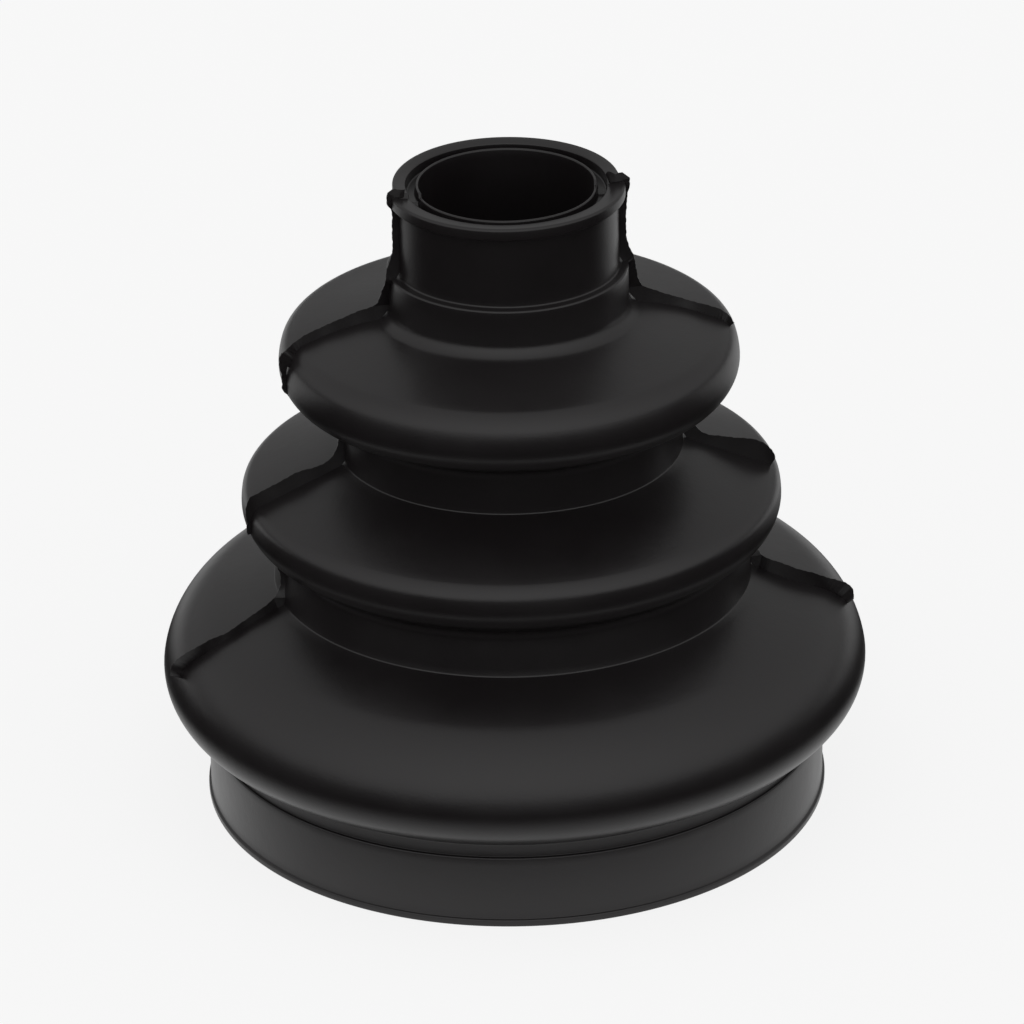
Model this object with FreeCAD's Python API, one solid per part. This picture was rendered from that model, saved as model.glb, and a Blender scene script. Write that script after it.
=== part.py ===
import FreeCAD, Part
import math
import os

# Rubber bellows boot, moulded in one piece. Lengths in millimetres, angles in degrees.
# The boot stands on its big end, with its axis on Z and the foot of that end at Z = 0.
# Its section lies in the XZ plane, X being the radius, and is turned once round Z.

# Big end collar and the bead round its foot
big_bore_radius = 41.0
big_collar_wall = 3.0
big_collar_height = 10.65
big_collar_edge_round = 0.25
mouth_round = 0.5
foot_bead_overhang = 0.35
foot_bead_height = 1.1
foot_bead_round = 0.3
foot_groove_round = 0.15

# Short neck between the big collar and the low fold
collar_neck_depth = 0.4
collar_neck_foot_round = 0.1
collar_neck_height = 1.73
collar_neck_top_round = 0.3

# Wall of the folds
fold_wall = 2.2

# Low fold, the widest
low_fold_overhang = 6.33
low_underside_slope = 40.5
low_tip_round = 5.84
low_shoulder_round = 14.6
low_shoulder_start = 31.5
low_top_slope = 23.5

# Neck above the low fold
low_neck_radius = 32.97
low_neck_flare = 0.7
low_neck_foot_round = 1.0
low_neck_top_round = 2.0
low_neck_height = 4.5

# Middle fold
mid_fold_overhang = 4.93
mid_underside_slope = 28.8
mid_tip_round = 4.3
mid_shoulder_round = 8.0
mid_shoulder_start = 11.6
mid_top_slope = 11.0

# Neck above the middle fold
mid_neck_radius = 24.1
mid_neck_foot_round = 1.0
mid_neck_top_round = 2.0
mid_neck_height = 3.85

# Top fold
top_fold_overhang = 8.12
top_underside_slope = 23.4
top_tip_round = 4.68
top_shoulder_round = 7.55
top_shoulder_start = 18.4
top_top_slope = 11.5

# Neck and ledge above the top fold
top_neck_height = 3.05
top_neck_round = 3.0
ledge_width = 1.25
ledge_round = 0.5

# Small end collar, with its clamp seat between the ledge and the rim
small_bore_radius = 12.0
small_collar_wall = 3.4
bore_foot_round = 1.5
seat_height = 10.18
seat_foot_round = 0.25

# Rim of the small end, with a groove between its crest and the lip of the bore
rim_overhang = 0.95
rim_height = 2.35
rim_under_round = 0.6
rim_low_round = 0.4
rim_edge_round = 0.65
rim_crest_round = 0.35
rim_groove_flat = 0.8
rim_groove_round = 0.3
rim_groove_depth = 1.15
lip_flat = 0.25
lip_round = 0.45
lip_drop = 0.25

# Flash where the mould halves met: on each side a thin fin over the top of each fold,
# webbed into the neck above it, and along the small collar
flash_angles = (0.0, 196.0)
flash_thickness = 0.5
flash_height = 1.1
flash_web_round = 2.0
flash_corner_round = 0.3
flash_end_angle = -6.0
flash_neck_reach = 0.8
flash_seat_height = 1.1
flash_rim_drop = 0.8


# Straight runs shorter than this are left out of an outline
shortest_run = 0.0001


# An outline is a list of rounds, each (radius from the axis, height, rounding).
# The rounding is above zero where the outline turns left and below zero where it turns right.


# A round whose straight run to or from its neighbour has the given heading
def placed(neighbour, radius, rounding, heading):
    turn = math.radians(heading)
    offset = rounding - neighbour[2] + (radius - neighbour[0]) * math.sin(turn)
    return (radius, neighbour[1] + offset / math.cos(turn), rounding)


# The broad round that takes over from a fold's tip at the given angle
def shoulder(tip, rounding, angle):
    back = rounding - tip[2]
    turn = math.radians(angle)
    return (tip[0] - back * math.cos(turn), tip[1] - back * math.sin(turn), rounding)


# The same rounds, moved outwards by a distance
def grown(rounds, distance):
    return [(radius, height, rounding + distance) for radius, height, rounding in rounds]


# The same rounds, followed the other way
def turned_back(rounds):
    return [(radius, height, -rounding) for radius, height, rounding in reversed(rounds)]


# Heading of the straight run that touches two rounds
def run_heading(first, second):
    across = second[0] - first[0]
    up = second[1] - first[1]
    ratio = (second[2] - first[2]) / math.hypot(across, up)
    return math.atan2(up, across) - math.asin(max(-1.0, min(1.0, ratio)))


# Point of a round where the outline has the given heading
def point_on(one_round, heading):
    x = one_round[0] + one_round[2] * math.sin(heading)
    z = one_round[1] - one_round[2] * math.cos(heading)
    return FreeCAD.Vector(x, 0, z)


# Flat face inside a closed outline, made of arcs and the straight runs between them
def outline_face(rounds):
    count = len(rounds)
    headings = [run_heading(rounds[i], rounds[(i + 1) % count]) for i in range(count)]
    arc_ends = [point_on(rounds[i], headings[i]) for i in range(count)]
    edges = []
    for i in range(count):
        arc_start = point_on(rounds[i], headings[i - 1])
        if arc_start.distanceToPoint(arc_ends[i - 1]) > shortest_run:
            edges.append(Part.makeLine(arc_ends[i - 1], arc_start))
        else:
            arc_start = arc_ends[i - 1]
        if arc_start.distanceToPoint(arc_ends[i]) > shortest_run:
            side = 1.0 if rounds[i][2] > 0 else -1.0
            turn = side * ((side * (headings[i] - headings[i - 1])) % (2.0 * math.pi))
            arc_middle = point_on(rounds[i], headings[i - 1] + turn / 2.0)
            edges.append(Part.Arc(arc_start, arc_middle, arc_ends[i]).toShape())
        else:
            arc_ends[i] = arc_start
    return Part.Face(Part.Wire(edges))


# Radii that follow from the walls
big_collar_radius = big_bore_radius + big_collar_wall
collar_neck_radius = big_collar_radius - collar_neck_depth
low_fold_radius = collar_neck_radius + low_fold_overhang
mid_fold_radius = low_neck_radius + mid_fold_overhang
top_fold_radius = mid_neck_radius + top_fold_overhang
seat_radius = small_bore_radius + small_collar_wall
top_neck_radius = seat_radius + ledge_width
rim_radius = seat_radius + rim_overhang

# Outside of the big collar
bead_x = big_collar_radius + foot_bead_overhang - foot_bead_round
bead_foot = (bead_x, foot_bead_round, foot_bead_round)
bead_top = (bead_x, foot_bead_height - foot_bead_round, foot_bead_round)
bead_groove = (big_collar_radius + foot_groove_round,
               foot_bead_height + foot_groove_round, -foot_groove_round)
collar_edge = (big_collar_radius - big_collar_edge_round,
               big_collar_height - big_collar_edge_round, big_collar_edge_round)

# Outside of the short neck and the low fold
collar_neck_foot = (collar_neck_radius + collar_neck_foot_round,
                    big_collar_height + collar_neck_foot_round, -collar_neck_foot_round)
collar_neck_top = (collar_neck_radius + collar_neck_top_round,
                   big_collar_height + collar_neck_height, -collar_neck_top_round)
low_tip = placed(collar_neck_top, low_fold_radius - low_tip_round, low_tip_round,
                 low_underside_slope)
low_shoulder = shoulder(low_tip, low_shoulder_round, low_shoulder_start)
low_foot = placed(low_shoulder, low_neck_radius + low_neck_flare + low_neck_foot_round,
                  -low_neck_foot_round, 180.0 - low_top_slope)
low_top = (low_neck_radius + low_neck_top_round, low_foot[1] + low_neck_height,
           -low_neck_top_round)

# Outside of the middle fold
mid_tip = placed(low_top, mid_fold_radius - mid_tip_round, mid_tip_round,
                 mid_underside_slope)
mid_shoulder = shoulder(mid_tip, mid_shoulder_round, mid_shoulder_start)
mid_foot = placed(mid_shoulder, mid_neck_radius + mid_neck_foot_round,
                  -mid_neck_foot_round, 180.0 - mid_top_slope)
mid_top = (mid_neck_radius + mid_neck_top_round, mid_foot[1] + mid_neck_height,
           -mid_neck_top_round)

# Outside of the top fold, up to the ledge
top_tip = placed(mid_top, top_fold_radius - top_tip_round, top_tip_round,
                 top_underside_slope)
top_shoulder = shoulder(top_tip, top_shoulder_round, top_shoulder_start)
top_root = placed(top_shoulder, top_neck_radius + top_neck_round, -top_neck_round,
                  180.0 - top_top_slope)
ledge_height = top_root[1] + top_neck_height
ledge = (top_neck_radius - ledge_round, ledge_height - ledge_round, ledge_round)

# Outside of the small collar and its rim
seat_foot = (seat_radius + seat_foot_round, ledge_height + seat_foot_round, -seat_foot_round)
seat_top_height = ledge_height + seat_height
rim_top_height = seat_top_height + rim_height
rim_under = (seat_radius + rim_under_round, seat_top_height, -rim_under_round)
rim_low = (rim_radius - rim_low_round,
           seat_top_height + rim_under_round + rim_low_round, rim_low_round)
rim_edge = (rim_radius - rim_edge_round, rim_top_height - rim_edge_round, rim_edge_round)
rim_groove_x = small_bore_radius + 2.0 * lip_round + lip_flat + rim_groove_round
rim_groove = (rim_groove_x, rim_top_height - rim_groove_depth + rim_groove_round,
              -rim_groove_round)
rim_crest = (rim_groove_x + rim_groove_round + rim_groove_flat + rim_crest_round,
             rim_top_height - rim_crest_round, rim_crest_round)

outside_of_folds = [low_tip, low_shoulder, low_foot, low_top,
                    mid_tip, mid_shoulder, mid_foot, mid_top,
                    top_tip, top_shoulder]

# Inside, from the mouth up: the folds keep one wall, and the two bores are straight
inside_of_folds = grown(outside_of_folds, -fold_wall)
throat_round = collar_neck_top_round + fold_wall
throat = (big_bore_radius + throat_round, collar_neck_top[1], -throat_round)
mouth = (big_bore_radius + mouth_round, mouth_round, -mouth_round)
bore_foot = placed(inside_of_folds[-1], small_bore_radius + bore_foot_round,
                   -bore_foot_round, 180.0 - top_top_slope)
lip = (small_bore_radius + lip_round, rim_top_height - lip_drop - lip_round, -lip_round)

outside = [bead_foot, bead_top, bead_groove, collar_edge, collar_neck_foot, collar_neck_top]
outside += outside_of_folds
outside += [top_root, ledge, seat_foot, rim_under, rim_low, rim_edge, rim_crest, rim_groove]
inside = [mouth, throat] + inside_of_folds + [bore_foot, lip]

axis_foot = FreeCAD.Vector(0, 0, 0)
axis_way = FreeCAD.Vector(0, 0, 1)
section = outline_face(outside + turned_back(inside))
boot = section.revolve(axis_foot, axis_way, 360)

# Flash: the outer edge of a fin keeps one height over a fold and webs the hollow above it
half_wall = fold_wall / 2.0
web_x = flash_height + flash_web_round
core = grown(outside_of_folds + [top_root], -half_wall)


# Where a fin starts, a little below the tip of its fold, and its corner there
def fin_start(tip):
    turn = math.radians(flash_end_angle)
    reach = tip[2] + flash_height - flash_corner_round
    corner = (tip[0] + reach * math.cos(turn), tip[1] + reach * math.sin(turn),
              flash_corner_round)
    middle = tip[2] - half_wall
    seat = (tip[0] + middle * math.cos(turn), tip[1] + middle * math.sin(turn), 0.0)
    return [seat, corner] + grown([tip], flash_height)


# Outline of the fin on a fold with a plain neck above it
def neck_fin(tip, broad, neck_foot, neck_top, foot_slope, first_core):
    broad_out = (broad[0], broad[1], broad[2] + flash_height)
    foot_radius = neck_foot[0] + neck_foot[2]
    web = placed(broad_out, foot_radius + web_x, -flash_web_round, 180.0 - foot_slope)
    top_radius = neck_top[0] + neck_top[2]
    top_height = neck_top[1] + flash_neck_reach
    top_corner = (top_radius + flash_height - flash_corner_round, top_height,
                  flash_corner_round)
    top_seat = (top_radius - half_wall, top_height + flash_corner_round, 0.0)
    way_back = core[first_core:first_core + 3] + [top_seat]
    return fin_start(tip) + [broad_out, web, top_corner] + turned_back(way_back)


low_fin = neck_fin(low_tip, low_shoulder, low_foot, low_top, low_top_slope, 0)
mid_fin = neck_fin(mid_tip, mid_shoulder, mid_foot, mid_top, mid_top_slope, 4)

# Outline of the fin on the top fold, which runs on up the small collar to its rim
broad_out = (top_shoulder[0], top_shoulder[1], top_shoulder[2] + flash_height)
flash_edge_radius = seat_radius + flash_seat_height
collar_web = placed(broad_out, flash_edge_radius + flash_web_round, -flash_web_round,
                    180.0 - top_top_slope)
rim_corner = (flash_edge_radius - flash_corner_round,
              rim_top_height - flash_rim_drop - flash_corner_round, flash_corner_round)
rim_seat = ((small_bore_radius + seat_radius) / 2.0, rim_corner[1], 0.0)
top_fin = fin_start(top_tip) + [broad_out, collar_web, rim_corner]
top_fin += turned_back(core[8:] + [rim_seat])

for fin_outline in (low_fin, mid_fin, top_fin):
    fin = outline_face(fin_outline).extrude(FreeCAD.Vector(0, flash_thickness, 0))
    fin.translate(FreeCAD.Vector(0, -flash_thickness / 2.0, 0))
    for angle in flash_angles:
        one_fin = fin.copy()
        one_fin.rotate(axis_foot, axis_way, angle)
        boot = boot.fuse(one_fin)

os.makedirs("parts", exist_ok=True)
boot.exportStep("parts/bellows_boot.step")
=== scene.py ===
import bpy
import math
import numpy as np
from mathutils import Matrix, Vector


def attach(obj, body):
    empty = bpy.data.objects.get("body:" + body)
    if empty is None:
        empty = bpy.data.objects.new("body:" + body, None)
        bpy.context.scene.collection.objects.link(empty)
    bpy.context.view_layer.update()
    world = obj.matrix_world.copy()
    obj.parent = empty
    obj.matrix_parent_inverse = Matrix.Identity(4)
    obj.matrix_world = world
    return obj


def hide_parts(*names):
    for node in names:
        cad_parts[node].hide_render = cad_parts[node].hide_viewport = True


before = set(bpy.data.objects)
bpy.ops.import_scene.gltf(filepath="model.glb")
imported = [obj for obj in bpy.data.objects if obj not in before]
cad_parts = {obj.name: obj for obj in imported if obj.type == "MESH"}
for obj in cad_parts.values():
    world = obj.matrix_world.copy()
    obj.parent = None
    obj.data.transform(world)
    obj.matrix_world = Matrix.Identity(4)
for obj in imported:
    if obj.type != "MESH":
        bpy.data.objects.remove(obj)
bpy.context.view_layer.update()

# Rubber bellows boot. Shapes are in millimetres and degrees and become metres in makeMesh.
scene = bpy.context.scene
scene.view_settings.view_transform = "Standard"


def linear(hexColour):
    # sRGB hex to linear: below 0.04045 a straight line, above it a power of 2.4
    parts = [int(hexColour[i:i + 2], 16) / 255 for i in (0, 2, 4)]
    return [p / 12.92 if p <= 0.04045 else ((p + 0.055) / 1.055) ** 2.4 for p in parts] + [1.0]


def makeMesh(name, points, faces, smooth=True):
    # points in millimetres, faces as rows of four corner numbers
    mesh = bpy.data.meshes.new(name)
    mesh.from_pydata((points * 0.001).tolist(), [], faces.tolist())
    mesh.polygons.foreach_set("use_smooth", np.full(len(mesh.polygons), smooth))
    mesh.validate()
    mesh.update()
    piece = bpy.data.objects.new(name, mesh)
    scene.collection.objects.link(piece)
    return piece


def gridFaces(rows, columns, closeRows, closeColumns):
    # one quad for each cell of the grid, joined round where a direction is closed
    i = np.arange(rows if closeRows else rows - 1)[:, None]
    j = np.arange(columns if closeColumns else columns - 1)[None, :]
    iNext, jNext = (i + 1) % rows, (j + 1) % columns
    corners = [i * columns + j, i * columns + jNext, iNext * columns + jNext, iNext * columns + j]
    return np.stack([c + 0 * (i + j) for c in corners], axis=-1).reshape(-1, 4)


def ripple(x, waves, seed):
    # a sum of sines with random phases, about -1 to 1: the unevenness of a hand-trimmed edge
    source = np.random.default_rng(seed)
    total = np.zeros_like(x)
    for wave in waves:
        total += np.sin(2 * np.pi * x / wave + source.uniform(0, 2 * np.pi))
    return total / len(waves)


# The boot's section is a row of rounds (radius, height, rounding) that straight runs touch. A
# rounding is above zero where the outline turns left, walking up the outside.
boot = dict(
    bigBore=41.0, bigWall=3.0, bigHeight=10.65, bigEdge=0.25, mouthRound=0.5,
    beadOut=0.35, beadHeight=1.1, beadRound=0.3, beadLine=0.15,
    wall=2.2, collarNeckDepth=0.4, collarNeckFoot=0.1, collarNeckHeight=1.73, collarNeckTop=0.3,
    # each fold: how far it reaches and how high its tip lies, the tip's rounding, the flatter
    # belly and the shoulder above it (rounding, angle where it starts), the slope of its top
    lowReach=49.95, lowHeight=19.94, lowTip=6.27, lowBelly=(5.5, 0.8), lowShoulder=(12.0, 10.0),
    lowTop=19.5, lowNeck=32.97, lowFlare=0.7, lowNeckTop=38.4,
    midReach=37.9, midHeight=45.07, midTip=4.24, midBelly=(9.7, 1.6), midShoulder=(2.6, 9.3),
    midTop=20.7, midNeck=24.1, midNeckTop=58.06,
    topReach=32.02, topHeight=66.05, topTip=4.41, topBelly=(9.52, 2.9), topShoulder=(3.32, 17.2),
    topTop=11.0,
    footRound=0.25, neckRound=2.0, rootRound=2.1, ledgeHeight=79.92, ledge=1.25, ledgeRound=0.3,
    smallBore=12.0, smallWall=3.4, boreFoot=1.5, seatHeight=10.18, seatFoot=0.25,
    rimOut=0.95, rimHeight=2.35, rimUnder=0.6, rimLow=0.4, rimEdge=0.38, rimCrest=0.25,
    rimSlope=0.3, rimGroove=0.25, rimGrooveWidth=1.35, rimGrooveDepth=1.8, lipRound=0.22,
    lipDrop=0.42,
    rearHalf=(0.0, 196.0),      # azimuths of the two mould lines
    halfDrop=0.62,              # how far the front half of the small collar sits lower
    dropFrom=82.0, dropTo=88.0,  # heights over which it comes in
    halfStep=0.75,              # how far the front half of the rim stands out
    stepHeights=(88.5, 90.0), stepRadii=(14.2, 16.0),   # where the step comes in
    waviness=0.05, waveFoot=12.0,   # slow unevenness, none at the foot
    partingGap=0.12,            # degrees from a mould line to the columns beside it
    columns=204, sagitta=0.006, longestRun=1.1,
    headEnd=4,                  # rounds of the rim's groove and lip, which carry no flash
)


def placed(neighbour, radius, rounding, heading):
    # the round whose straight run to its neighbour has this heading
    turn = math.radians(heading)
    offset = rounding - neighbour[2] + (radius - neighbour[0]) * math.sin(turn)
    return (radius, neighbour[1] + offset / math.cos(turn), rounding)


def takingOver(before, rounding, angle):
    # the round that goes on from the one before it, at this angle, without a corner
    back, turn = rounding - before[2], math.radians(angle)
    return (before[0] - back * math.cos(turn), before[1] - back * math.sin(turn), rounding)


def fold(b, name):
    tip = (b[name + "Reach"] - b[name + "Tip"], b[name + "Height"], b[name + "Tip"])
    belly = takingOver(tip, *b[name + "Belly"])
    return [tip, belly, takingOver(belly, *b[name + "Shoulder"])]


def bootSection(b):
    bigRadius = b["bigBore"] + b["bigWall"]
    collarNeck = bigRadius - b["collarNeckDepth"]
    seatRadius = b["smallBore"] + b["smallWall"]
    neckRadius = seatRadius + b["ledge"]
    rimRadius = seatRadius + b["rimOut"]
    beadX = bigRadius + b["beadOut"] - b["beadRound"]
    foot = [
        (beadX, b["beadRound"], b["beadRound"]),
        (beadX, b["beadHeight"] - b["beadRound"], b["beadRound"]),
        (bigRadius + b["beadLine"], b["beadHeight"] + b["beadLine"], -b["beadLine"]),
        (bigRadius - b["bigEdge"], b["bigHeight"] - b["bigEdge"], b["bigEdge"]),
        (collarNeck + b["collarNeckFoot"], b["bigHeight"] + b["collarNeckFoot"],
         -b["collarNeckFoot"]),
        (collarNeck + b["collarNeckTop"], b["bigHeight"] + b["collarNeckHeight"],
         -b["collarNeckTop"]),
    ]
    low, mid, top = (fold(b, name) for name in ("low", "mid", "top"))
    lowFoot = placed(low[-1], b["lowNeck"] + b["lowFlare"] + b["footRound"], -b["footRound"],
                     180 - b["lowTop"])
    lowNeck = (b["lowNeck"] + b["neckRound"], b["lowNeckTop"], -b["neckRound"])
    midFoot = placed(mid[-1], b["midNeck"] + b["footRound"], -b["footRound"], 180 - b["midTop"])
    midNeck = (b["midNeck"] + b["neckRound"], b["midNeckTop"], -b["neckRound"])
    root = placed(top[-1], neckRadius + b["rootRound"], -b["rootRound"], 180 - b["topTop"])
    seatTop = b["ledgeHeight"] + b["seatHeight"]
    rimTop = seatTop + b["rimHeight"]
    grooveIn = b["smallBore"] + 2 * b["lipRound"]
    grooveOut = grooveIn + b["rimGrooveWidth"]
    grooveHeight = rimTop - b["rimGrooveDepth"] + b["rimGroove"]
    folds = low + [lowFoot, lowNeck] + mid + [midFoot, midNeck] + top
    head = [
        root,
        (neckRadius - b["ledgeRound"], b["ledgeHeight"] - b["ledgeRound"], b["ledgeRound"]),
        (seatRadius + b["seatFoot"], b["ledgeHeight"] + b["seatFoot"], -b["seatFoot"]),
        (seatRadius + b["rimUnder"], seatTop, -b["rimUnder"]),
        (rimRadius - b["rimLow"], seatTop + b["rimUnder"] + b["rimLow"], b["rimLow"]),
        (rimRadius - b["rimEdge"], rimTop - b["rimEdge"], b["rimEdge"]),
        (grooveOut + b["rimCrest"], rimTop - b["rimSlope"] - b["rimCrest"], b["rimCrest"]),
        (grooveOut - b["rimGroove"], grooveHeight, -b["rimGroove"]),
        (grooveIn + b["rimGroove"], grooveHeight, -b["rimGroove"]),
    ]
    lip = (b["smallBore"] + b["lipRound"], rimTop - b["lipDrop"] - b["lipRound"], b["lipRound"])
    folded = [(x, z, r - b["wall"]) for x, z, r in folds]
    boreFoot = placed(folded[-1], b["smallBore"] + b["boreFoot"], -b["boreFoot"],
                      180 - b["topTop"])
    throat = b["collarNeckTop"] + b["wall"]
    inside = [(b["bigBore"] + b["mouthRound"], b["mouthRound"], -b["mouthRound"]),
              (b["bigBore"] + throat, foot[-1][1], -throat)] + folded + [boreFoot]
    back = [(x, z, -r) for x, z, r in reversed(inside)]
    return foot + folds + head + [lip] + back, len(foot + folds + head) + 1


def walkOutline(rounds, sagitta, longestRun):
    # Along the closed outline: on a round, centre + rounding * (sin h, -cos h), the heading h
    # going evenly from the run before it to the run after it; on a run, evenly spaced points.
    # Steps on a round keep the chord within the sagitta. Also gives each point's round number.
    rounds = np.array(rounds)
    across, up, change = (np.roll(rounds, -1, axis=0) - rounds).T
    ratio = np.clip(change / np.hypot(across, up), -1, 1)
    headingOut = np.arctan2(up, across) - np.arcsin(ratio)
    headingIn = np.roll(headingOut, 1)
    side = np.where(rounds[:, 2] > 0, 1.0, -1.0)
    turn = side * np.mod(side * (headingOut - headingIn), 2 * np.pi)
    turn[np.abs(turn) > 2 * np.pi - 1e-4] = 0.0
    pieces, owners, lastEnd = [], [], None
    for k, (x, z, rounding) in enumerate(rounds):
        step = 2 * math.acos(1 - min(0.5, sagitta / abs(rounding)))
        steps = max(2, math.ceil(abs(turn[k]) / step) + 1)
        heading = headingIn[k] + turn[k] * np.linspace(0, 1, steps)
        arc = np.stack([x + rounding * np.sin(heading), z - rounding * np.cos(heading)], axis=1)
        pieces.append(arc)
        owners.append(np.full(len(arc), float(k)))
    outline, owner = [], []
    for k, arc in enumerate(pieces):
        before = pieces[k - 1][-1]
        length = np.hypot(*(arc[0] - before))
        if length > 0.02:
            inner = np.linspace(0, 1, math.ceil(length / longestRun) + 1)[1:-1, None]
            outline.append(before + (arc[0] - before) * inner)
            owner.append(np.full(len(inner), k - 0.5))
            outline.append(arc)
            owner.append(owners[k])
        else:
            outline.append(arc[1:])
            owner.append(owners[k][1:])
    return np.concatenate(outline), np.concatenate(owner)


# The skin, inside and out, is the section turned round the axis in one closed surface.
sectionRounds, outsideCount = bootSection(boot)
section, sectionOwner = walkOutline(sectionRounds, boot["sagitta"], boot["longestRun"])


def rising(x, span):
    # 0 below the span, 1 above it, a straight line in between
    return np.clip((x - span[0]) / (span[1] - span[0]), 0, 1)


def makeSkin(b):
    # A point is (r cos a, r sin a, z) over the section's points and the azimuths a. The front
    # mould half is a little lower at the small collar, so two columns lie close at each line.
    rearStart, rearEnd = b["rearHalf"]
    tiny = b["partingGap"]
    rearShare = (rearEnd - rearStart) / 360
    rear = np.linspace(rearStart + tiny, rearEnd - tiny, round(b["columns"] * rearShare))
    front = np.linspace(rearEnd + tiny, rearStart + 360 - tiny,
                        round(b["columns"] * (1 - rearShare)))
    azimuth = np.radians(np.concatenate([rear, front]))[None, :]
    isFront = np.concatenate([np.zeros(len(rear)), np.ones(len(front))])[None, :]
    r, z = section[:, 0:1], section[:, 1:2]
    lift = rising(z, (b["dropFrom"], b["dropTo"]))
    rimOnly = rising(z, b["stepHeights"]) * rising(r, b["stepRadii"])
    # the slow unevenness of a soft moulding: three waves round it that drift with the height
    slow = (np.sin(2 * azimuth + 0.03 * z) + 0.6 * np.sin(3 * azimuth - 0.05 * z + 1.0)
            + 0.4 * np.sin(5 * azimuth + 0.11 * z)) * b["waviness"]
    slow = slow * rising(z, (0.0, b["waveFoot"]))
    radius = r + slow - (1 - isFront) * rimOnly * b["halfStep"]
    height = z - isFront * lift * b["halfDrop"] - 0.02 * lift
    height = height + 0 * azimuth
    points = np.stack([radius * np.cos(azimuth), radius * np.sin(azimuth), height], axis=-1)
    faces = gridFaces(points.shape[0], points.shape[1], True, True)
    # walking up the outside with the azimuth growing, this corner order faces outwards
    return makeMesh("rubberBoot", points.reshape(-1, 3), faces)


bootSkin = makeSkin(boot)
print("skin", len(bootSkin.data.polygons), "faces")


# Mould flash: thin fins of rubber along the two mould lines, where the mould's halves met.
flash = dict(
    rootSink=0.5, rootWidth=0.42, bodyWidth=0.3, crestWidth=0.14, spacing=0.18,
    bodyShare=0.45,             # how far up the fin its body width lies
    bodyLean=0.4,               # how much of the sway reaches the body
    endShare=0.02, endWidth=0.15,   # the part of its length over which a fin's end thins
    least=0.6, mostProud=2.0,   # a fin stands out at least so far, but for webs prouder than this
    tear=0.07, tearWaves=(0.9, 1.7, 3.9),
    sway=0.16, swayWaves=(5.0, 11.0, 23.0),
    stripTear=0.1, stripSway=0.25, stripSeed=91,
    curveSteps=24, skinSpacing=0.05,
)
# Each fin's azimuth and its crest line from the end on the fold to the end in the hollow. A
# crest point is (radius, height) or (radius, height, degrees off the azimuth).
finCrests = dict(
    rightLow=(0.0, [(48.35, 26.9), (48.3, 28.0), (48.0, 28.8), (47.3, 29.6, -0.5),
                    (46.0, 30.3, -1), (43.3, 31.7, -2), (40.6, 32.75, -2.5), (37.2, 33.85, -2),
                    (35.4, 34.4, -1), (34.5, 35.6), (34.1, 37.6), (34.3, 39.3), (34.5, 40.0)]),
    rightMid=(0.0, [(36.7, 48.9), (37.1, 49.5), (36.6, 50.6), (36.0, 51.4), (35.2, 52.0),
                    (34.1, 52.35), (32.4, 52.6), (29.6, 52.9), (27.5, 53.3), (26.2, 54.2),
                    (25.2, 55.8), (24.9, 57.6), (25.3, 59.2), (25.9, 60.0)]),
    rightTop=(0.0, [(31.15, 70.2), (30.95, 70.9), (30.4, 71.6), (29.5, 72.15, 1),
                    (27.75, 72.5, 2.5), (24.85, 72.95, 5), (22.6, 73.6, 6.5), (20.4, 74.4, 7),
                    (18.9, 75.2, 6.5), (18.1, 76.6, 5), (17.8, 78.4, 2.5), (17.6, 79.9),
                    (17.4, 80.7), (17.05, 81.5), (16.7, 82.5), (16.4, 84.2), (16.45, 87.4),
                    (16.6, 89.7), (16.8, 90.5), (16.85, 91.3), (16.45, 91.8), (15.6, 92.45),
                    (14.7, 93.05), (14.0, 93.35), (13.6, 92.9)]),
    leftLow=(196.6, [(50.4, 24.2), (50.3, 25.0), (49.9, 26.1), (49.0, 27.3, 1), (47.0, 29.1, 2.5),
                     (45.0, 30.2, 3.2), (42.9, 30.95, 3.5), (40.0, 32.05, 2.7), (36.9, 33.4, 2),
                     (35.0, 34.4, 1.2), (34.2, 35.6, 0.5), (34.0, 37.3), (34.6, 39.4),
                     (35.2, 40.6)]),
    leftMid=(196.6, [(38.1, 44.3), (38.4, 46.0), (38.6, 47.6), (38.4, 48.8), (37.9, 50.0),
                     (36.4, 50.6), (34.6, 51.2), (33.1, 51.9), (31.6, 52.5), (30.2, 52.9),
                     (27.8, 53.3), (26.2, 54.1), (25.2, 55.6), (24.9, 57.4), (25.3, 59.2),
                     (26.0, 60.2)]),
    leftTop=(196.0, [(32.6, 69.1), (32.85, 69.9), (32.65, 70.7), (31.95, 71.2), (30.6, 71.65, -2),
                     (28.6, 72.3, -4), (25.1, 73.1, -6.5), (21.8, 74.05, -8), (19.9, 74.6, -8),
                     (18.5, 75.35, -7), (17.95, 76.7, -5), (17.75, 78.2, -2.5), (17.55, 79.6),
                     (17.35, 81.0), (17.0, 82.1), (16.6, 83.1), (16.3, 84.4), (16.35, 86.2),
                     (16.25, 89.0), (16.4, 90.1), (16.65, 90.9), (16.85, 91.5), (16.4, 92.0),
                     (15.7, 92.5), (15.0, 92.8), (14.4, 92.5)]),
)
# A torn strip that hangs from the end of the left fin on the top fold: outer and inner edge
tornStrip = (196.0, [(32.5, 71.0), (32.65, 70.7), (32.88, 69.95), (32.84, 68.9), (32.67, 67.7),
                     (32.57, 66.45), (32.5, 65.5), (32.2, 64.87), (31.7, 64.25)],
             [(31.2, 70.5), (31.4, 70.1), (31.65, 69.3), (31.9, 68.3), (31.97, 67.3),
              (32.0, 66.4), (31.93, 65.6), (31.77, 64.95), (31.5, 64.3)])


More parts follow.
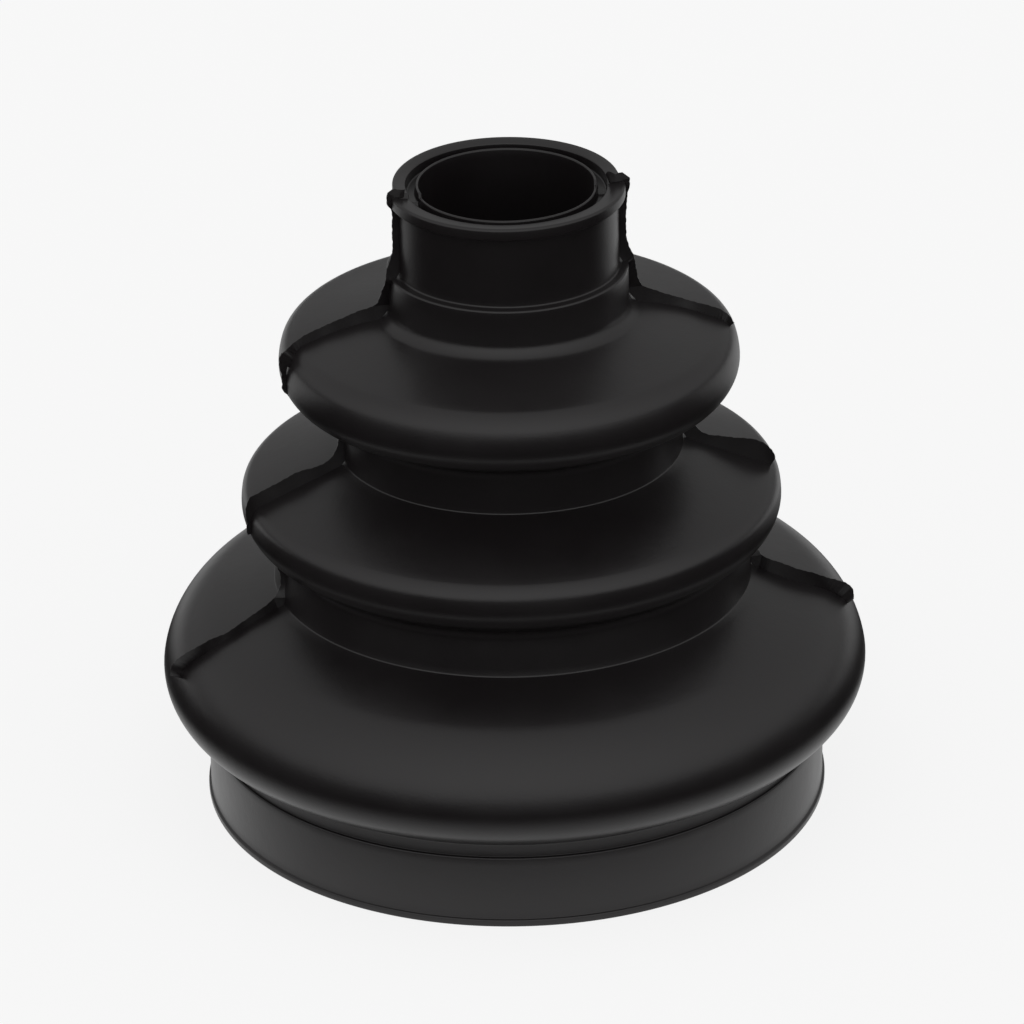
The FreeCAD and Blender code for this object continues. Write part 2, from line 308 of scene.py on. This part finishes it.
def throughPoints(points, spacing):
    # Catmull-Rom: between two points, the cubic whose slope at each is half the way from the
    # one before it to the one after it. Points are then spaced evenly along its length.
    p = np.array(points, float)
    p = np.concatenate([[2 * p[0] - p[1]], p, [2 * p[-1] - p[-2]]])
    t = np.linspace(0, 1, flash["curveSteps"], endpoint=False)[None, :, None]
    a, b, c, d = (p[k:len(p) - 3 + k][:, None, :] for k in range(4))
    curve = 0.5 * (2 * b + (c - a) * t + (2 * a - 5 * b + 4 * c - d) * t ** 2
                   + (3 * b - 3 * c + d - a) * t ** 3)
    curve = np.concatenate([curve.reshape(-1, p.shape[1]), p[-2:-1]])
    along = np.concatenate([[0], np.cumsum(np.hypot(*np.diff(curve[:, :2], axis=0).T))])
    even = np.linspace(0, along[-1], max(8, round(along[-1] / spacing)))
    return np.stack([np.interp(even, along, column) for column in curve.T], axis=1), even


def denseOutside():
    # the outside of the section, closely spaced, and the way out of it at each point: the
    # direction along it, turned a quarter to the right
    outer = section[:int(np.argmax(sectionOwner > outsideCount - boot["headEnd"]))]
    along = np.concatenate([[0], np.cumsum(np.hypot(*np.diff(outer, axis=0).T))])
    even = np.arange(0, along[-1], flash["skinSpacing"])
    line = np.stack([np.interp(even, along, outer[:, k]) for k in (0, 1)], axis=1)
    ahead = np.gradient(line, axis=0)
    ahead = ahead / np.hypot(*ahead.T)[:, None]
    return line, np.stack([ahead[:, 1], -ahead[:, 0]], axis=1)


outsideLine, outsideWay = denseOutside()


def makeFin(azimuth, crest, along, root, seed, tear, sway):
    # Six points round the fin at each step along it: root, body and crest on either side. They
    # lie in the plane at the azimuth, moved along its normal by half the width there. The crest
    # is torn a little up and down and sways from side to side.
    f = flash
    count = len(crest)
    t = along / along[-1]
    ends = rising(np.minimum(t, 1 - t), (0.0, f["endShare"]))[:, None]
    reach = crest - root
    size = np.hypot(*reach.T)[:, None]
    way = reach / np.maximum(size, 1e-6)
    crest = crest + way * (ripple(along, f["tearWaves"], seed) * tear)[:, None]
    lean = (ripple(along, f["swayWaves"], seed + 1) * sway)[:, None]
    middle = root + (crest - root) * f["bodyShare"]
    a = np.radians(azimuth) + np.zeros(count)
    outward = np.stack([np.cos(a), np.sin(a), 0 * a], axis=1)
    normal = np.stack([-np.sin(a), np.cos(a), 0 * a], axis=1)
    rows = []
    for line, width, share in ((root, f["rootWidth"], 0.0),
                               (middle, f["bodyWidth"], f["bodyLean"]),
                               (crest, f["crestWidth"], 1.0)):
        flat = line[:, 0:1] * outward + line[:, 1:2] * np.array([0, 0, 1.0])
        half = 0.5 * width * (f["endWidth"] + (1 - f["endWidth"]) * ends)
        rows.append([flat + normal * (lean * share + side * half) for side in (-1, 1)])
    ring = [rows[0][0], rows[1][0], rows[2][0], rows[2][1], rows[1][1], rows[0][1]]
    points = np.stack(ring, axis=1)
    faces = gridFaces(count, 6, False, True)
    caps = np.array([[0, 1, 4, 5], [1, 2, 3, 4]])
    last = (count - 1) * 6 + caps[:, ::-1]
    return points.reshape(-1, 3), np.concatenate([faces, caps, last])


def rootOnSkin(crest):
    # The foot of each crest point in the skin, never walking back along it, and the crest
    # moved out where it would hardly stand proud of the skin
    f = flash
    gaps = np.hypot(crest[:, None, 0] - outsideLine[None, :, 0],
                    crest[:, None, 1] - outsideLine[None, :, 1])
    nearest = np.maximum.accumulate(gaps.argmin(axis=1))
    onSkin, out = outsideLine[nearest], outsideWay[nearest]
    proud = ((crest - onSkin) * out).sum(axis=1)[:, None]
    crest = crest + out * np.maximum(f["least"] - proud, 0) * (proud < f["mostProud"])
    return crest, onSkin - out * f["rootSink"]


def makeFlash():
    f = flash
    fins = []
    for number, (azimuth, controls) in enumerate(finCrests.values()):
        controls = [point + (0,) * (3 - len(point)) for point in controls]
        path, along = throughPoints(controls, f["spacing"])
        crest, root = rootOnSkin(path[:, :2])
        fins.append(makeFin(azimuth + path[:, 2], crest, along, root, 10 * number,
                            f["tear"], f["sway"]))
    azimuth, outer, inner = tornStrip
    crest, along = throughPoints(outer, f["spacing"])
    innerLine, innerAlong = throughPoints(inner, f["spacing"])
    root = np.stack([np.interp(along / along[-1], innerAlong / innerAlong[-1], column)
                     for column in innerLine.T], axis=1)
    fins.append(makeFin(azimuth, crest, along, root, f["stripSeed"],
                        f["stripTear"], f["stripSway"]))
    starts = np.cumsum([0] + [len(points) for points, _ in fins[:-1]])
    return makeMesh("mouldFlash", np.concatenate([points for points, _ in fins]),
                    np.concatenate([faces + start for (_, faces), start in zip(fins, starts)]),
                    smooth=False)


mouldFlash = makeFlash()
print("flash", len(mouldFlash.data.polygons), "faces")


def addNode(tree, kind, links=None, inputs=None, **settings):
    # one node, its settings, its socket values and the links into its sockets
    node = tree.nodes.new(kind)
    for key, value in settings.items():
        setattr(node, key, value)
    for key, value in (inputs or {}).items():
        node.inputs[key].default_value = value
    for key, source in (links or {}).items():
        tree.links.new(source, node.inputs[key])
    return node


rubberLook = dict(
    colour="151213", fadedColour="1c191a", roughness=0.32, roughnessSpread=0.07,
    specular=0.5, ior=1.52,
    clouds=14.0, cloudRange=(0.3, 0.7),     # mm: where the skin has dulled
    grain=0.35, grainHeight=0.010,          # mm: fine skin of a blasted mould
    pits=2.2, pitHeight=0.02,               # mm: shallow dimples
)


def mouldedRubber(look):
    # Chloroprene rubber, compression moulded and black with carbon: a deep black body under a
    # satin skin, so the eye sees soft wide highlights, a faint grain and cloudy dull patches.
    material = bpy.data.materials.new("mouldedChloropreneRubber")
    material.use_nodes = True
    tree = material.node_tree
    tree.nodes.clear()
    place = addNode(tree, "ShaderNodeTexCoord").outputs["Object"]
    clouds = addNode(tree, "ShaderNodeTexNoise", {"Vector": place},
                     {"Scale": 1000 / look["clouds"], "Detail": 4.0, "Roughness": 0.55})
    grain = addNode(tree, "ShaderNodeTexNoise", {"Vector": place},
                    {"Scale": 1000 / look["grain"], "Detail": 2.0, "Roughness": 0.6})
    pits = addNode(tree, "ShaderNodeTexNoise", {"Vector": place},
                   {"Scale": 1000 / look["pits"], "Detail": 3.0, "Roughness": 0.5})
    colour = addNode(tree, "ShaderNodeMix", {"Factor": clouds.outputs["Fac"]}, data_type="RGBA")
    colour.inputs["A"].default_value = linear(look["colour"])
    colour.inputs["B"].default_value = linear(look["fadedColour"])
    rough = addNode(tree, "ShaderNodeMapRange", {"Value": clouds.outputs["Fac"]},
                    {"From Min": look["cloudRange"][0], "From Max": look["cloudRange"][1],
                     "To Min": look["roughness"] - look["roughnessSpread"] / 2,
                     "To Max": look["roughness"] + look["roughnessSpread"] / 2})
    bumpPits = addNode(tree, "ShaderNodeBump", {"Height": pits.outputs["Fac"]},
                       {"Strength": 1.0, "Distance": look["pitHeight"] / 1000})
    bumpGrain = addNode(tree, "ShaderNodeBump",
                        {"Height": grain.outputs["Fac"], "Normal": bumpPits.outputs["Normal"]},
                        {"Strength": 1.0, "Distance": look["grainHeight"] / 1000})
    shader = addNode(tree, "ShaderNodeBsdfPrincipled",
                     {"Base Color": colour.outputs["Result"], "Roughness": rough.outputs["Result"],
                      "Normal": bumpGrain.outputs["Normal"]},
                     {"IOR": look["ior"], "Specular IOR Level": look["specular"]})
    addNode(tree, "ShaderNodeOutputMaterial", {"Surface": shader.outputs["BSDF"]})
    return material


rubber = mouldedRubber(rubberLook)
for piece in (bootSkin, mouldFlash):
    piece.data.materials.append(rubber)
    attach(piece, "root")
    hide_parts("bellows_boot")
print("rubber")

# The floor, the light and the camera. Lengths here are in metres.
stage = dict(
    floorSide=2.4,                                      # from the axis to each edge
    floorColour="f4f4f4",
    floorSeen=0.84,                                     # share of plain white in the camera's view
    paintedFootReflection=0.75, paintedFootReflectionFrom=0.05, paintedFootReflectionTo=0.085,  # painted reflection: the floor's glow near the foot, seen only in gloss
    paintedBackReflection=0.6, paintedBackReflectionFrom=0.05, paintedBackReflectionTo=0.14,   # painted reflection: the floor's glow behind the boot, seen only in gloss
    paintedFarReflection=0.012,                                    # painted reflection: the floor's dim glow further out, seen only in gloss
    skyLevel=0.64, skyForward=0.34, skyRange=(0.35, 1.0),   # the tent, brighter in front
    skyEdge=(0.0, 0.16),                                # the tent fades in above the horizon
    groundStrength=0.012,
)


def makeFloor(s):
    # A floor that the camera sees pale all over. In the rubber's gloss it shows a painted
    # reflection
    # instead of lit paper: a glow near the foot and behind the boot, dim further out.
    x = s["floorSide"]
    corners = np.array([[-x, -x, 0], [x, -x, 0], [x, x, 0], [-x, x, 0]])
    floor = makeMesh("floor", corners * 1000, np.array([[0, 1, 2, 3]]), smooth=False)
    material = bpy.data.materials.new("paperFloorWithPaintedReflection")
    material.use_nodes = True
    tree = material.node_tree
    tree.nodes.clear()
    paper = addNode(tree, "ShaderNodeBsdfDiffuse", None, {"Color": linear(s["floorColour"])})
    white = addNode(tree, "ShaderNodeEmission", None, {"Color": (1, 1, 1, 1), "Strength": 1.0})
    path = addNode(tree, "ShaderNodeLightPath")
    inView = addNode(tree, "ShaderNodeMath", {0: path.outputs["Is Camera Ray"]},
                     {1: s["floorSeen"]}, operation="MULTIPLY")
    pale = addNode(tree, "ShaderNodeMixShader",
                   {0: inView.outputs[0], 1: paper.outputs[0], 2: white.outputs[0]})
    place = addNode(tree, "ShaderNodeTexCoord").outputs["Object"]
    away = addNode(tree, "ShaderNodeVectorMath", {0: place}, operation="LENGTH")
    part = addNode(tree, "ShaderNodeSeparateXYZ", {"Vector": place})
    # painted reflection: an emission seen only by glossy rays, bright near the foot and behind the
    # boot, dim elsewhere
    foot = addNode(tree, "ShaderNodeMapRange", {"Value": away.outputs["Value"]},
                   {"From Min": s["paintedFootReflectionFrom"], "From Max": s["paintedFootReflectionTo"],
                    "To Min": s["paintedFootReflection"], "To Max": s["paintedFarReflection"]},
                   interpolation_type="SMOOTHSTEP")
    back = addNode(tree, "ShaderNodeMapRange", {"Value": part.outputs["Y"]},
                   {"From Min": s["paintedBackReflectionFrom"], "From Max": s["paintedBackReflectionTo"],
                    "To Min": 0.0, "To Max": s["paintedBackReflection"]}, interpolation_type="SMOOTHSTEP")
    paintedGlossLevel = addNode(tree, "ShaderNodeMath", {0: foot.outputs[0], 1: back.outputs[0]},
                   operation="MAXIMUM")
    paintedGlossShader = addNode(tree, "ShaderNodeEmission", {"Strength": paintedGlossLevel.outputs[0]},
                      {"Color": (1, 1, 1, 1)})
    both = addNode(tree, "ShaderNodeMixShader", {0: path.outputs["Is Glossy Ray"],
                                                 1: pale.outputs[0], 2: paintedGlossShader.outputs[0]})
    addNode(tree, "ShaderNodeOutputMaterial", {"Surface": both.outputs[0]})
    floor.data.materials.append(material)


def makeRoom(s):
    # A white light tent above the horizon, brighter in front than behind, and a dim floor of
    # the room below it. The camera sees plain white all round.
    world = bpy.data.worlds.new("lightTent")
    scene.world = world
    world.use_nodes = True
    tree = world.node_tree
    tree.nodes.clear()
    way = addNode(tree, "ShaderNodeTexCoord").outputs["Generated"]
    part = addNode(tree, "ShaderNodeSeparateXYZ", {"Vector": way})
    low, high = s["skyRange"]
    tentLevel = addNode(tree, "ShaderNodeMapRange", {"Value": part.outputs["Y"]},
                        {"From Min": (s["skyLevel"] - high) / s["skyForward"],
                         "From Max": (s["skyLevel"] - low) / s["skyForward"],
                         "To Min": high, "To Max": low})
    edge = addNode(tree, "ShaderNodeMapRange", {"Value": part.outputs["Z"]},
                   {"From Min": s["skyEdge"][0], "From Max": s["skyEdge"][1],
                    "To Min": 0.0, "To Max": 1.0}, interpolation_type="SMOOTHSTEP")
    lit = addNode(tree, "ShaderNodeMath", {0: tentLevel.outputs[0], 1: edge.outputs[0]},
                  operation="MULTIPLY")
    level = addNode(tree, "ShaderNodeMath", {0: lit.outputs[0]}, {1: s["groundStrength"]},
                    operation="ADD")
    tent = addNode(tree, "ShaderNodeBackground", {"Strength": level.outputs[0]},
                   {"Color": (1, 1, 1, 1)})
    white = addNode(tree, "ShaderNodeBackground", None, {"Color": (1, 1, 1, 1), "Strength": 1.0})
    path = addNode(tree, "ShaderNodeLightPath")
    both = addNode(tree, "ShaderNodeMixShader",
                   {0: path.outputs["Is Camera Ray"], 1: tent.outputs[0], 2: white.outputs[0]})
    addNode(tree, "ShaderNodeOutputWorld", {"Surface": both.outputs[0]})


makeFloor(stage)
makeRoom(stage)


# The camera looks down 25.9 degrees from the front, a long lens about 0.77 m away. Its aim is
# the point on the axis at 45 mm, seen a little left of and above the middle of the picture.
view = dict(elevation=25.86, distance=768.4, focalPixels=5460.4, pictureSize=1024,
            aimHeight=45.0, aimPixel=(511.7, 490.78), roll=1.05)


def makeCamera(v):
    data = bpy.data.cameras.new("camera")
    data.sensor_width = 36.0
    data.lens = v["focalPixels"] / v["pictureSize"] * data.sensor_width
    data.clip_start, data.clip_end = 0.01, 20
    camera = bpy.data.objects.new("camera", data)
    e = math.radians(v["elevation"])
    back = Vector((0, -math.cos(e), math.sin(e)))
    base = back.to_track_quat("Z", "Y").to_matrix()
    rolled = base @ Matrix.Rotation(-math.radians(v["roll"]), 3, "Z")
    # turn the camera a fraction of a degree so that the aim falls on its pixel
    middle = v["pictureSize"] / 2
    dx = (v["aimPixel"][0] - middle) / v["focalPixels"]
    dy = (v["aimPixel"][1] - middle) / v["focalPixels"]
    sideways, tilt = (Matrix.Rotation(math.atan(d), 3, axis) for d, axis in ((dx, "Y"), (dy, "X")))
    turned = rolled @ sideways @ tilt
    camera.rotation_mode = "QUATERNION"
    camera.rotation_quaternion = turned.to_quaternion()
    camera.location = Vector((0, 0, v["aimHeight"] / 1000)) + back * v["distance"] / 1000
    scene.collection.objects.link(camera)
    scene.camera = camera


makeCamera(view)
print("floor, light and camera")
